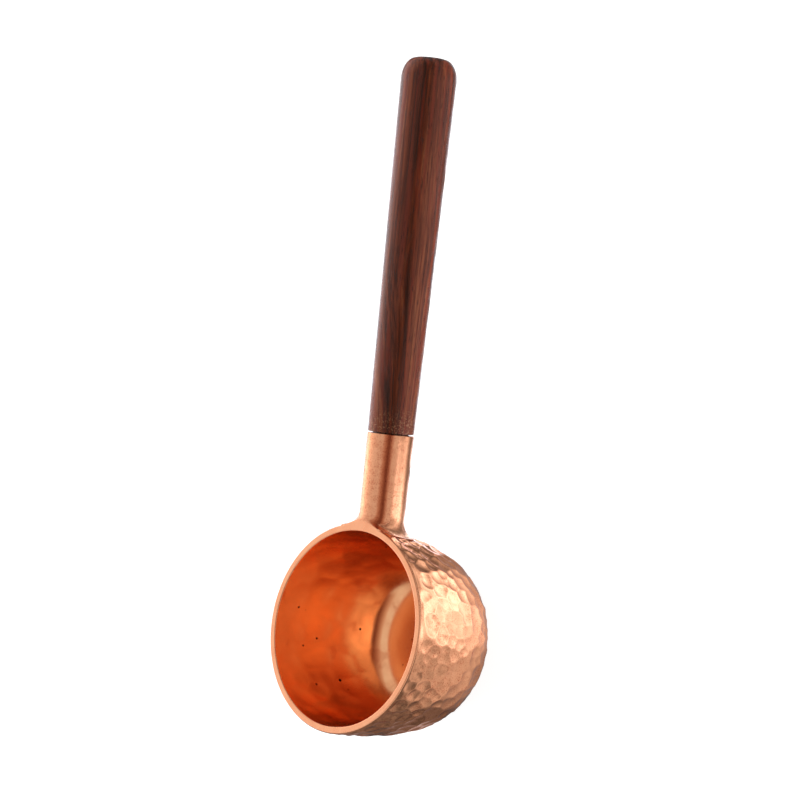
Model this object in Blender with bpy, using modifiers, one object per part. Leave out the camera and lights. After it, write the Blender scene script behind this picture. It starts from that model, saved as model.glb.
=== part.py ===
"""A coffee scoop: a hammered copper bowl, a copper socket brazed under its rim, and a turned wooden handle.

The origin is the centre of the bowl's flat foot, where the scoop stands. +Z points out of the mouth and the
handle runs towards +X, rising a little. All sizes are in metres.
"""

import math

import bmesh
import bpy
from mathutils import Matrix, Vector

# Bowl
BELLY_RADIUS = 0.02535  # outside of the wall just below the rim
RIM_ROUNDING = 0.00035  # rounding of the rim's outer edge, which leaves a flat face 50 mm across
LIP_HEIGHT = 0.0008  # straight stretch of the wall under the rim
BOWL_HEIGHT = 0.0320
BASE_RADIUS = 0.0155  # flat foot that it stands on
BOWL_WALL = 0.0017  # at the rim, where the sheet is thickest
BOWL_FLOOR = 0.0012
FLOOR_INSET = 0.0019  # the flat floor is this much smaller than the foot
OUTER_SQUARENESS = 2.17  # exponent of the wall's curve: 2 is an ellipse, more is squarer
INNER_SQUARENESS = 2.6
RIM_BREAK = 0.0001  # bevel on the inner edge of the rim

# Socket, a copper tube with a flared foot
NECK_RADIUS = 0.0057
NECK_WALL = 0.00105
NECK_LENGTH = 0.0228  # from the bowl's wall to the mouth of the tube, on the axis
NECK_DROP = 0.0066  # axis below the rim, where it meets the wall
FLARE_RADIUS = 0.0031  # hollow curve of the foot, at its sides
FLARE_LEAN = 0.28  # share by which that curve is larger on top and smaller underneath
RIM_MARGIN = 0.0002  # the foot is dressed off this far below the rim

# Braze, the ring of filler between the foot and the bowl
BRAZE_THICKNESS = 0.0005
JOINT_GAP = 0.0003  # clearance between pieces that touch

# Handle
HANDLE_RISE = math.radians(5.05)
HANDLE_LENGTH = 0.0908  # from the shoulder to the end
SHOULDER_RADIUS = 0.0056
GRIP_RADIUS = 0.0067  # near the free end
SHOULDER_GAP = 0.0003  # open line between the wood and the tube
TENON_LENGTH = 0.0150
TENON_CHAMFER = 0.0008
END_ROUND_LENGTH = 0.0052
END_ROUND_DEPTH = 0.0034
END_DOME = 0.0003
SHOULDER_BREAK = 0.0002

# Fineness of the turned shapes
BOWL_STEPS = 72
BOWL_RINGS = 15
ROUNDING_RINGS = 3
NECK_STEPS = 40
FLARE_RINGS = 6
HANDLE_STEPS = 40
END_RINGS = 7
MERGE_DISTANCE = 0.00001

COPPER = ((0.78, 0.40, 0.26, 1.0), 1.0, 0.28)
BRAZE_ALLOY = ((0.74, 0.42, 0.28, 1.0), 1.0, 0.38)
WOOD = ((0.13, 0.055, 0.035, 1.0), 0.0, 0.45)


def clear_scene():
    for obj in list(bpy.data.objects):
        bpy.data.objects.remove(obj)


def new_collection(name):
    collection = bpy.data.collections.new(name)
    bpy.context.scene.collection.children.link(collection)
    return collection


def new_material(name, finish):
    colour, metallic, roughness = finish
    material = bpy.data.materials.new(name)
    material.use_nodes = True
    shader = material.node_tree.nodes["Principled BSDF"]
    shader.inputs["Base Color"].default_value = colour
    shader.inputs["Metallic"].default_value = metallic
    shader.inputs["Roughness"].default_value = roughness
    material.diffuse_color = colour
    return material


def profile_mesh(name, points, closed):
    """A chain of edges in the XZ plane, from (radius, height) points."""
    mesh = bpy.data.meshes.new(name)
    edges = [(i, i + 1) for i in range(len(points) - 1)]
    if closed:
        edges.append((len(points) - 1, 0))
    mesh.from_pydata([(r, 0.0, z) for r, z in points], edges, [])
    return mesh


def turned(name, points, steps, collection, closed=False):
    """A shape turned about its own Z axis. The points run down its outer side."""
    obj = bpy.data.objects.new(name, profile_mesh(name, points, closed))
    collection.objects.link(obj)
    screw = obj.modifiers.new("turn", "SCREW")
    screw.axis = "Z"
    screw.angle = math.tau
    screw.steps = steps
    screw.render_steps = steps
    screw.use_merge_vertices = True
    screw.merge_threshold = MERGE_DISTANCE
    screw.use_smooth_shade = True
    return obj


def baked(obj):
    """The object with its modifiers applied, its faces pointing out."""
    bpy.context.view_layer.update()
    graph = bpy.context.evaluated_depsgraph_get()
    mesh = bpy.data.meshes.new_from_object(obj.evaluated_get(graph))
    obj.modifiers.clear()
    obj.data = mesh
    bm = bmesh.new()
    bm.from_mesh(mesh)
    bmesh.ops.remove_doubles(bm, verts=bm.verts, dist=MERGE_DISTANCE)
    bmesh.ops.recalc_face_normals(bm, faces=bm.faces)
    bm.to_mesh(mesh)
    bm.free()
    return obj


def arc(centre, radii, start, end, count):
    """Points on a quarter ellipse from one angle to another, both ends included."""
    angles = [start + (end - start) * i / count for i in range(count + 1)]
    return [(centre[0] + radii[0] * math.cos(a), centre[1] + radii[1] * math.sin(a)) for a in angles]


# Bowl


def curved_wall(top_radius, floor_radius, floor_height, squareness):
    """The wall's curve from its straight lip down to the edge of the flat floor."""
    top_height = BOWL_HEIGHT - LIP_HEIGHT
    points = []
    for i in range(BOWL_RINGS + 1):
        angle = math.pi / 2 * i / BOWL_RINGS
        across = math.cos(angle) ** (2 / squareness) if i < BOWL_RINGS else 0.0
        down = math.sin(angle) ** (2 / squareness)
        radius = floor_radius + (top_radius - floor_radius) * across
        points.append((radius, top_height - (top_height - floor_height) * down))
    return points


def bowl_profile():
    mouth = BELLY_RADIUS - BOWL_WALL
    inside = curved_wall(mouth, BASE_RADIUS - FLOOR_INSET, BOWL_FLOOR, INNER_SQUARENESS)
    outside = curved_wall(BELLY_RADIUS, BASE_RADIUS, 0.0, OUTER_SQUARENESS)
    centre = (BELLY_RADIUS - RIM_ROUNDING, BOWL_HEIGHT - RIM_ROUNDING)
    rounding = arc(centre, (RIM_ROUNDING, RIM_ROUNDING), math.pi / 2, 0.0, ROUNDING_RINGS)
    rim = [(mouth, BOWL_HEIGHT - RIM_BREAK), (mouth + RIM_BREAK, BOWL_HEIGHT)]
    return [(0.0, BOWL_FLOOR)] + inside[::-1] + rim + rounding + outside + [(0.0, 0.0)]


def wall_radius(height):
    """Outer radius of the bowl at a height, the lip carried on upwards."""
    lip = BOWL_HEIGHT - LIP_HEIGHT
    down = min(1.0, max(0.0, (lip - height) / lip))
    across = (1 - down**OUTER_SQUARENESS) ** (1 / OUTER_SQUARENESS)
    return BASE_RADIUS + (BELLY_RADIUS - BASE_RADIUS) * across


def make_bowl(collection):
    bowl = turned("bowl", bowl_profile(), BOWL_STEPS, collection)
    baked(bowl)
    return bowl


# Socket and braze, whose feet are bent to the bowl's wall


def handle_frame():
    """Matrix of the handle's axis: its origin on the bowl's wall, its Z along the handle."""
    height = BOWL_HEIGHT - NECK_DROP
    place = Matrix.Translation((wall_radius(height), 0.0, height))
    return place @ Matrix.Rotation(math.pi / 2 - HANDLE_RISE, 4, "Y")


def wall_below(x, y):
    """How far the bowl's wall lies behind the point (x, y) of the plane across the handle's axis."""
    frame = handle_frame()
    near, far = -BELLY_RADIUS, BELLY_RADIUS
    for _ in range(40):
        middle = (near + far) / 2
        point = frame @ Vector((x, y, -middle))
        inside = math.hypot(point.x, point.y) < wall_radius(point.z)
        near, far = (near, middle) if inside else (middle, far)
    return (near + far) / 2


def flare_reach():
    """Height over the wall at which the foot's hollow curve ends on top of the tube."""
    return FLARE_RADIUS * (1 + FLARE_LEAN)


def flare_out(height, upward):
    """How far the foot's hollow curve stands out of the tube at a height over the wall.

    upward is 1 on top of the tube, 0 at its sides and -1 underneath.
    """
    curve = FLARE_RADIUS * (1 + FLARE_LEAN * upward)
    rise = max(0.0, curve - height)
    return curve - math.sqrt(curve**2 - rise**2)


def flare_foot(obj):
    """Widens the straight tube's outer rings to the foot's hollow curve."""
    for vertex in obj.data.vertices:
        radius = math.hypot(vertex.co.x, vertex.co.y)
        if radius > NECK_RADIUS - NECK_WALL / 2:
            wider = 1 + flare_out(vertex.co.z, -vertex.co.x / radius) / radius
            vertex.co.x *= wider
            vertex.co.y *= wider


def bend_foot(obj, from_height):
    """Moves the foot's rings along the axis so that they follow the wall, and the tube less and less."""
    for vertex in obj.data.vertices:
        height = vertex.co.z
        share = max(0.0, 1 - max(0.0, height - from_height) / flare_reach())
        vertex.co.z -= wall_below(vertex.co.x, vertex.co.y) * share**2


def dress_to_rim(obj, cutter):
    """Cuts off what would stand above the rim."""
    cut = obj.modifiers.new("dress_to_rim", "BOOLEAN")
    cut.operation = "DIFFERENCE"
    cut.solver = "EXACT"
    cut.object = cutter


def rim_cutter(collection):
    """A block over the rim that covers the foot's flare and stops where the flare ends."""
    side = 4 * (NECK_RADIUS + flare_reach())
    flare_end = BELLY_RADIUS + flare_reach()
    bottom = BOWL_HEIGHT - RIM_MARGIN
    bpy.ops.mesh.primitive_cube_add(size=side, location=(flare_end - side / 2, 0.0, bottom + side / 2))
    cutter = bpy.context.object
    cutter.name = "rim_cutter"
    for other in cutter.users_collection:
        other.objects.unlink(cutter)
    collection.objects.link(cutter)
    cutter.hide_render = True
    cutter.display_type = "WIRE"
    return cutter


def tube(name, heights, collection):
    """A straight tube on the handle's axis with rings of points at the given heights."""
    bore = NECK_RADIUS - NECK_WALL
    outer = [(NECK_RADIUS, height) for height in heights]
    inner = [(bore, height) for height in heights]
    return baked(turned(name, inner + outer[::-1], NECK_STEPS, collection, closed=True))


def make_socket(collection, axis, cutter):
    foot = 2 * JOINT_GAP + BRAZE_THICKNESS
    rise = flare_reach() - foot
    heights = [foot + rise * i / FLARE_RINGS for i in range(FLARE_RINGS + 1)]
    heights += [(flare_reach() + NECK_LENGTH) / 2, NECK_LENGTH]
    socket = tube("socket", heights, collection)
    flare_foot(socket)
    bend_foot(socket, foot)
    socket.parent = axis
    dress_to_rim(socket, cutter)
    return socket


def make_braze(collection, axis, cutter):
    heights = [JOINT_GAP, JOINT_GAP + BRAZE_THICKNESS / 2, JOINT_GAP + BRAZE_THICKNESS]
    braze = tube("neck_braze", heights, collection)
    flare_foot(braze)
    for vertex in braze.data.vertices:
        vertex.co.z -= wall_below(vertex.co.x, vertex.co.y)
    braze.parent = axis
    dress_to_rim(braze, cutter)
    return braze


# Handle


def handle_profile():
    """From the free end's centre down to the tenon's end."""
    shoulder = NECK_LENGTH + SHOULDER_GAP
    end = shoulder + HANDLE_LENGTH
    tenon = NECK_RADIUS - NECK_WALL - JOINT_GAP
    tenon_end = NECK_LENGTH - TENON_LENGTH
    centre = (GRIP_RADIUS - END_ROUND_DEPTH, end - END_DOME - END_ROUND_LENGTH)
    rounding = arc(centre, (END_ROUND_DEPTH, END_ROUND_LENGTH), math.pi / 2, 0.0, END_RINGS)
    body = [(SHOULDER_RADIUS, shoulder + SHOULDER_BREAK), (SHOULDER_RADIUS - SHOULDER_BREAK, shoulder)]
    stub = [(tenon, shoulder), (tenon, tenon_end + TENON_CHAMFER), (tenon - TENON_CHAMFER, tenon_end)]
    return [(0.0, end)] + rounding + body + stub + [(0.0, tenon_end)]


def make_handle(collection, axis):
    handle = turned("handle", handle_profile(), HANDLE_STEPS, collection)
    baked(handle)
    handle.parent = axis
    return handle


def dress(obj, material):
    obj.data.materials.clear()
    obj.data.materials.append(material)
    obj.data.shade_smooth()
    obj.data.set_sharp_from_angle(angle=math.radians(30))


def main():
    clear_scene()
    parts = new_collection("coffee_scoop")
    helpers = new_collection("cutters")
    axis = bpy.data.objects.new("handle_axis", None)
    axis.empty_display_size = NECK_LENGTH
    axis.matrix_world = handle_frame()
    helpers.objects.link(axis)
    cutter = rim_cutter(helpers)

    copper = new_material("hammered_copper", COPPER)
    braze_alloy = new_material("braze_alloy", BRAZE_ALLOY)
    wood = new_material("dark_wood", WOOD)
    dress(make_bowl(parts), copper)
    dress(make_socket(parts, axis, cutter), copper)
    dress(make_braze(parts, axis, cutter), braze_alloy)
    dress(make_handle(parts, axis), wood)


main()
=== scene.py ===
"""The looks of the coffee scoop: a hammered copper bowl, a satin copper neck and a dark turned handle.

The bowl stands on the floor at the origin with its mouth up, and the handle runs towards +X.
Sizes are in metres.
"""

from __future__ import annotations

import logging
import math
import random
from dataclasses import dataclass, field
from enum import Enum

import bmesh
import bpy
from mathutils import Matrix, Vector, kdtree, noise

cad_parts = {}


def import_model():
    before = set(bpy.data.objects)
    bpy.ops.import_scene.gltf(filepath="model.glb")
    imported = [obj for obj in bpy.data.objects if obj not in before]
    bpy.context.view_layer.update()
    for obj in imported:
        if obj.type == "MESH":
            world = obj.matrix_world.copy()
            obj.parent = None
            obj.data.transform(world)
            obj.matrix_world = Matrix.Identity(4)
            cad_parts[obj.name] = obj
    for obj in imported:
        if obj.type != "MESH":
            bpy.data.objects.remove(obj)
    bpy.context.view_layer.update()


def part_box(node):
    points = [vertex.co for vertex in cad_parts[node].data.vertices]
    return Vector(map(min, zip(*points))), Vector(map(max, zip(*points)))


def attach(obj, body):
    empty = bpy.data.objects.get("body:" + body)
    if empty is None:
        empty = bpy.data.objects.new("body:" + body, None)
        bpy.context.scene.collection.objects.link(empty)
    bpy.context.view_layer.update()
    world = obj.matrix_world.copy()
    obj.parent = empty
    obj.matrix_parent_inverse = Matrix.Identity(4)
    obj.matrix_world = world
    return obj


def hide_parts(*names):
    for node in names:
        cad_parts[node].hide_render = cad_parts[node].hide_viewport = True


LOG = logging.getLogger("coffee_scoop")
BODY = "root"
IMAGE_WIDTH = 800
SENSOR_WIDTH = 36.0
MERGE_DISTANCE = 0.000004
WALL_HALVINGS = 36
TINY = 1e-12
FLAT_FOLD = math.radians(30)

Colour = tuple[float, float, float, float]
Levels = tuple[tuple[float, float], ...]
Profile = list[tuple[float, float]]
Pair = tuple[float, float]

WHITE: Colour = (1.0, 1.0, 1.0, 1.0)


@dataclass(frozen=True)
class Fade:
    """A change from one level to another between two values, with no change beyond them.

    Attributes:
        start: Value at which the change starts.
        end: Value at which it ends.
        first: Level at the start.
        last: Level at the end.
    """

    start: float
    end: float
    first: float = 0.0
    last: float = 1.0


def tone(red: int, green: int, blue: int) -> Colour:
    """A colour as a screen shows it, turned into the linear colour that a shader takes.

    Args:
        red: Red from 0 to 255.
        green: Green from 0 to 255.
        blue: Blue from 0 to 255.

    Returns:
        Linear red, green and blue, and an alpha of 1.
    """
    linear = []
    for value in (red, green, blue):
        share = value / 255
        linear.append(share / 12.92 if share <= 0.04045 else ((share + 0.055) / 1.055) ** 2.4)
    return (linear[0], linear[1], linear[2], 1.0)


def eased(value: float, low: float, high: float) -> float:
    """A smooth step from 0 at low to 1 at high."""
    share = min(1.0, max(0.0, (value - low) / (high - low)))
    return share * share * (3 - 2 * share)


def resampled(points: Profile, spacing: float) -> Profile:
    """The same line with its points evenly spaced.

    Args:
        points: Points of the line in order.
        spacing: Distance wanted between two points.

    Returns:
        The new points, with both ends kept.
    """
    lengths = [0.0]
    for (r1, z1), (r2, z2) in zip(points, points[1:]):
        lengths.append(lengths[-1] + math.hypot(r2 - r1, z2 - z1))
    count = max(1, round(lengths[-1] / spacing))
    even = []
    at = 0
    for i in range(count + 1):
        goal = lengths[-1] * i / count
        while at < len(points) - 2 and lengths[at + 1] < goal:
            at += 1
        share = (goal - lengths[at]) / max(lengths[at + 1] - lengths[at], TINY)
        (r1, z1), (r2, z2) = points[at], points[at + 1]
        even.append((r1 + (r2 - r1) * share, z1 + (z2 - z1) * share))
    return even


def arc(centre: Pair, radii: Pair, start: float, end: float, count: int) -> Profile:
    """Points on an ellipse from one angle to another, both ends included."""
    angles = [start + (end - start) * i / count for i in range(count + 1)]
    return [(centre[0] + radii[0] * math.cos(a), centre[1] + radii[1] * math.sin(a)) for a in angles]


def turned(profile: Profile, steps: int, closed: bool = False) -> bmesh.types.BMesh:
    """A shape spun about the Z axis.

    Args:
        profile: Radius and height of each point.
        steps: Number of steps round the axis.
        closed: Whether the last point joins the first, as on a tube.

    Returns:
        The new mesh, closed at its poles, with its faces pointing outwards.
    """
    bm = bmesh.new()
    verts = [bm.verts.new((radius, 0.0, height)) for radius, height in profile]
    edges = [bm.edges.new(pair) for pair in zip(verts, verts[1:])]
    if closed:
        edges.append(bm.edges.new((verts[-1], verts[0])))
    bmesh.ops.spin(
        bm,
        geom=verts + edges,
        cent=(0.0, 0.0, 0.0),
        axis=(0.0, 0.0, 1.0),
        angle=math.tau,
        steps=steps,
        use_merge=True,
    )
    bmesh.ops.remove_doubles(bm, verts=bm.verts, dist=MERGE_DISTANCE)
    bmesh.ops.recalc_face_normals(bm, faces=bm.faces)
    return bm


def level_sheet(reach: float, height: float) -> bmesh.types.BMesh:
    """A level square sheet with its middle over the origin.

    Args:
        reach: Distance from the middle to each side.
        height: Height of the sheet.

    Returns:
        The new mesh.
    """
    bm = bmesh.new()
    bmesh.ops.create_grid(bm, x_segments=1, y_segments=1, size=reach)
    bm.transform(Matrix.Translation((0.0, 0.0, height)))
    return bm


def finished(
    name: str,
    bm: bmesh.types.BMesh,
    materials: list[bpy.types.Material],
    sharp: float = FLAT_FOLD,
) -> bpy.types.Object:
    """Makes the object of a finished mesh and links it to the scene.

    Args:
        name: Name of the piece.
        bm: The mesh in its place, freed here.
        materials: Its materials in the order of the faces' numbers.
        sharp: Edges that fold by more than this angle, in radians, stay crisp.

    Returns:
        The new object, at the origin and unturned.
    """
    mesh = bpy.data.meshes.new(name)
    bm.to_mesh(mesh)
    bm.free()
    for material in materials:
        mesh.materials.append(material)
    mesh.shade_smooth()
    mesh.set_sharp_from_angle(angle=sharp)
    obj = bpy.data.objects.new(name, mesh)
    bpy.context.scene.collection.objects.link(obj)
    return obj


def reflected_only(obj: bpy.types.Object) -> bpy.types.Object:
    """Hides a card from the camera and keeps it from shading the scoop, so that only shiny surfaces show it.

    Args:
        obj: The card.

    Returns:
        The same card.
    """
    obj.visible_camera = False
    obj.visible_diffuse = False
    obj.visible_shadow = False
    return obj


class Zone(Enum):
    """The bowl's surfaces, in the order of its materials."""

    OUTSIDE = 0
    RIM = 1
    INSIDE = 2


@dataclass(frozen=True)
class BowlShape:
    """Sizes of the raised bowl and the curves of its wall.

    Attributes:
        belly_radius: Outer radius at the widest, just under the lip.
        height: Height of the rim over the foot.
        foot_radius: Radius of the flat foot.
        lip_height: Height of the lip, over which the wall draws in to the rim.
        lip_draw: How far the lip draws in.
        squareness: Power of the wall's curve, 2 for an ellipse and more for a squarer one.
        mouth_radius: Inner radius at the rim.
        floor_radius: Radius of the flat floor inside.
        floor_height: Thickness of the floor.
        corner_radius: Radius of the corner round the floor.
        corner_lean: How much the wall leans out where the corner ends.
        rim_break: Width of the broken outer edge of the rim.
        rim_break_fall: Share of the broken edge at which its middle ring lies.
        rim_flat_margin: Broken edges' widths from the outer edge to the last ring of the flat.
        rim_rounding: Radius of the inner edge of the rim.
        lip_points: Points on the lip, as the next fields give them for the other curves.
    """

    belly_radius: float
    height: float
    foot_radius: float = 0.0155
    lip_height: float = 0.0004
    lip_draw: float = 0.00017
    squareness: float = 2.17
    mouth_radius: float = 0.02365
    floor_radius: float = 0.0131
    floor_height: float = 0.0012
    corner_radius: float = 0.0072
    corner_lean: float = math.radians(30)
    rim_break: float = 0.00012
    rim_break_fall: float = 0.3
    rim_flat_margin: float = 2.2
    rim_rounding: float = 0.00028
    lip_points: int = 12
    wall_points: int = 120
    corner_points: int = 48
    slope_points: int = 60
    rounding_points: int = 5

    def wall_radius(self, height: float) -> float:
        """Outer radius of the wall at a height, the lip carried on upwards.

        Args:
            height: Height over the foot.

        Returns:
            The radius.
        """
        high = self.height - self.lip_height
        down = min(1.0, max(0.0, (high - height) / high))
        across = (1 - down**self.squareness) ** (1 / self.squareness)
        return self.foot_radius + (self.belly_radius - self.foot_radius) * across

    def outside(self) -> Profile:
        """The bowl's outer line.

        Returns:
            Points from the outer edge of the rim face down to the middle of the foot.
        """
        high = self.height - self.lip_height
        lip = arc(
            (self.belly_radius - self.lip_draw, high),
            (self.lip_draw, self.lip_height - self.rim_break),
            math.pi / 2,
            0.0,
            self.lip_points,
        )
        wall = []
        for i in range(1, self.wall_points + 1):
            angle = math.pi / 2 * i / self.wall_points
            across = max(0.0, math.cos(angle)) ** (2 / self.squareness)
            down = math.sin(angle) ** (2 / self.squareness)
            radius = self.foot_radius + (self.belly_radius - self.foot_radius) * across
            wall.append((radius, high * (1 - down)))
        return lip + wall + [(0.0, 0.0)]

    def inside(self) -> Profile:
        """The bowl's inner line.

        Returns:
            Points from the middle of the floor round the corner and up to the inner edge of the rim face.
        """
        centre = (self.floor_radius, self.floor_height + self.corner_radius)
        reach = (self.corner_radius, self.corner_radius)
        corner = arc(centre, reach, -math.pi / 2, -self.corner_lean, self.corner_points)
        start = Vector(corner[-1])
        out = self.mouth_radius - start.x
        knee = Vector((self.mouth_radius, start.y + out / math.tan(self.corner_lean)))
        top = Vector((self.mouth_radius, self.height - self.rim_rounding))
        slope = []
        for i in range(1, self.slope_points + 1):
            share = i / self.slope_points
            slope.append(tuple(start.lerp(knee, share).lerp(knee.lerp(top, share), share)))
        return [(0.0, self.floor_height)] + corner + slope

    def rim(self) -> Profile:
        """The line over the rim, between the inner line and the outer one.

        Returns:
            Points from the inner rounding over the flat to the broken outer edge.
        """
        rounding = self.rim_rounding
        middle = (self.mouth_radius + rounding, self.height - rounding)
        inner = arc(middle, (rounding, rounding), math.pi, math.pi / 2, self.rounding_points)[1:]
        edge = self.rim_break
        outer = self.belly_radius - self.lip_draw
        fall = edge * self.rim_break_fall
        return inner + [
            (self.mouth_radius + rounding + edge, self.height),
            (outer - edge * self.rim_flat_margin, self.height),
            (outer - edge, self.height),
            (outer - fall, self.height - fall),
        ]


@dataclass(frozen=True)
class HammerWork:
    """Blows of a domed hammer, laid in rings round the bowl.

    Attributes:
        spacing: Distance from blow to blow round a ring.
        ring_spacing: Distance from ring to ring.
        scatter: Share of these distances by which a blow misses its place.
        depth: Depth of a blow in its middle.
        depth_spread: Share by which the depth varies.
        dome: Radius of the hammer's dome.
        dome_spread: Share by which the dome varies.
        stretch: How much longer a dent is up the wall than round it.
        crispness: Softness of the ridges between dents.
        ridge: How far a ridge stands out at most.
        first_ring: Distance from the rim at which the blows have their full depth.
        foot_turn: Height up to which the rings turn from the flat of the foot to the wall.
        neighbours: Number of blows looked at round a point.
        seed: Start of the random draws.
    """

    spacing: float = 0.0028
    ring_spacing: float = 0.0037
    scatter: float = 0.46
    depth: float = 0.00027
    depth_spread: float = 0.36
    dome: float = 0.0050
    dome_spread: float = 0.35
    stretch: float = 1.8
    crispness: float = 0.000003
    ridge: float = 0.00012
    first_ring: float = 0.0015
    foot_turn: float = 0.004
    neighbours: int = 9
    seed: int = 11


class Blows:
    """The places and depths of all hammer blows on a bowl."""

    def __init__(self, work: HammerWork, wall: Profile) -> None:
        """Lays the blows in rings along a wall.

        Args:
            work: How the hammer was used.
            wall: Outline of the turned wall that it was used on.
        """
        self.work = work
        draw = random.Random(work.seed)
        places = []
        self.domes: list[float] = []
        self.depths: list[float] = []
        self.tangents: list[Vector] = []
        for radius, height in resampled(wall, work.ring_spacing)[1:]:
            count = max(1, round(math.tau * radius / work.spacing))
            start = draw.random() * math.tau
            for i in range(count):
                turn = start + math.tau * (i + draw.uniform(-1, 1) * work.scatter) / count
                shift = draw.uniform(-1, 1) * work.scatter * work.ring_spacing
                slope = eased(height, 0.0, work.foot_turn)
                reach = radius - shift * (1 - slope)
                level = height + shift * slope
                places.append(Vector((reach * math.cos(turn), reach * math.sin(turn), level)))
                self.tangents.append(Vector((-math.sin(turn), math.cos(turn), 0.0)))
                self.domes.append(work.dome * (1 + draw.uniform(-1, 1) * work.dome_spread))
                self.depths.append(work.depth * (1 + draw.uniform(-1, 1) * work.depth_spread))
        self.tree = kdtree.KDTree(len(places))
        for i, place in enumerate(places):
            self.tree.insert(place, i)
        self.tree.balance()

    def depth(self, point: Vector) -> float:
        """How deep the hammer has driven the metal at a point, crisp along the ridges between blows.

        Args:
            point: A point on the wall before the hammering.

        Returns:
            The depth, which is less than 0 on a ridge.
        """
        dents = []
        for place, i, distance in self.tree.find_n(point, self.work.neighbours):
            around = (point - place).dot(self.tangents[i])
            along = max(0.0, distance**2 - around**2) / self.work.stretch
            dents.append(self.depths[i] - (around**2 + along) / (2 * self.domes[i]))
        deepest = max(dents)
        blend = sum(math.exp((dent - deepest) / self.work.crispness) for dent in dents)
        return max(-self.work.ridge, deepest + self.work.crispness * math.log(blend))


@dataclass(frozen=True)
class NeckShape:
    """Sizes of the copper tube between the bowl and the handle, with its flared foot.

    Attributes:
        radius: Outer radius at the mouth.
        foot_radius: Outer radius at the foot, before it flares.
        wall: Thickness of the tube.
        length: Length from the bowl's wall to the mouth.
        drop: How far under the rim the axis meets the wall.
        flare: Radius of the foot's hollow curve at the sides.
        flare_lean: Share by which the curve is larger on top and smaller underneath.
        rise: How far the axis rises, as an angle.
        mouth_break: Rounding of the mouth's outer edge.
        sink: How far the foot goes into the bowl's wall.
        rim_film: How far the dressed flat lies over the rim, so that it shows.
        rim_softness: Size of the soft edge where the foot is dressed to the rim.
        rim_flat_share: Share of the softness that counts as flat.
    """

    radius: float = 0.0057
    foot_radius: float = 0.00555
    wall: float = 0.00105
    length: float = 0.0228
    drop: float = 0.0066
    flare: float = 0.0031
    flare_lean: float = 0.28
    rise: float = math.radians(5.05)
    mouth_break: float = 0.0002
    sink: float = 0.0005
    rim_film: float = 0.000004
    rim_softness: float = 0.0004
    rim_flat_share: float = 0.06

    def flare_reach(self) -> float:
        """Height over the wall at which the foot's hollow curve ends on top of the tube."""
        return self.flare * (1 + self.flare_lean)

    def flare_out(self, height: float, upward: float) -> float:
        """How far the foot's hollow curve stands out of the tube.

        Args:
            height: Height over the bowl's wall.
            upward: 1 on top of the tube, 0 at its sides and -1 underneath.

        Returns:
            The distance from the tube's outside.
        """
        curve = self.flare * (1 + self.flare_lean * upward)
        rise = max(0.0, curve - max(0.0, height))
        return curve - math.sqrt(curve**2 - rise**2)

    def flare_foot(self, bm: bmesh.types.BMesh) -> None:
        """Widens the outside of a straight tube to the foot's hollow curve.

        Args:
            bm: The tube, upright on its foot.
        """
        for vert in bm.verts:
            radius = math.hypot(vert.co.x, vert.co.y)
            if radius > self.foot_radius - self.wall / 2:
                wider = 1 + self.flare_out(vert.co.z, -vert.co.x / radius) / radius
                vert.co.x *= wider
                vert.co.y *= wider


class HandleAxis:
    """The line of the neck and the handle, which starts on the bowl's wall."""

    def __init__(self, bowl: BowlShape, neck: NeckShape) -> None:
        """Places the axis on the bowl.

        Args:
            bowl: The bowl that the neck stands on.
            neck: The neck's drop below the rim, and its rise.
        """
        self.bowl = bowl
        self.neck = neck
        height = bowl.height - neck.drop
        self.origin = Vector((bowl.wall_radius(height), 0.0, height))
        self.turn = math.pi / 2 - neck.rise
        self.matrix = Matrix.Translation(self.origin) @ Matrix.Rotation(self.turn, 4, "Y")

    def wall_below(self, x: float, y: float) -> float:
        """How far the bowl's wall lies behind a point of the plane across the axis.

        Args:
            x: The point's distance from the axis, downwards.
            y: Its distance from the axis, sideways.

        Returns:
            The distance along the axis.
        """
        near, far = -self.bowl.belly_radius, self.bowl.belly_radius
        for _ in range(WALL_HALVINGS):
            middle = (near + far) / 2
            point = self.matrix @ Vector((x, y, -middle))
            inside = math.hypot(point.x, point.y) < self.bowl.wall_radius(point.z)
            near, far = (near, middle) if inside else (middle, far)
        return (near + far) / 2

    def bend_to_wall(self, bm: bmesh.types.BMesh, reach: float) -> None:
        """Moves a foot's points along the axis to follow the bowl's wall, less and less on the way up.

        Args:
            bm: The tube, upright on its foot.
            reach: Height over the foot at which nothing moves.
        """
        for vert in bm.verts:
            share = 1 - min(1.0, max(0.0, vert.co.z) / reach)
            if share > 0:
                vert.co.z -= self.wall_below(vert.co.x, vert.co.y) * share * share

    def dress_to_rim(self, bm: bmesh.types.BMesh, film: float) -> None:
        """Dresses the foot flat to the rim with a soft edge, and gives the flat the second material.

        Args:
            bm: The foot's mesh in its place.
            film: Height of the flat over the rim.
        """
        top = self.bowl.height + film
        end = self.bowl.belly_radius + self.neck.flare_reach()
        soft = self.neck.rim_softness
        for vert in bm.verts:
            over = vert.co.z - top
            if vert.co.x < end and over > -soft:
                vert.co.z = top if over >= soft else top - (soft - over) ** 2 / (4 * soft)
        for face in bm.faces:
            centre = face.calc_center_median()
            if centre.x < end and centre.z > top - soft * self.neck.rim_flat_share:
                face.material_index = 1


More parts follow.
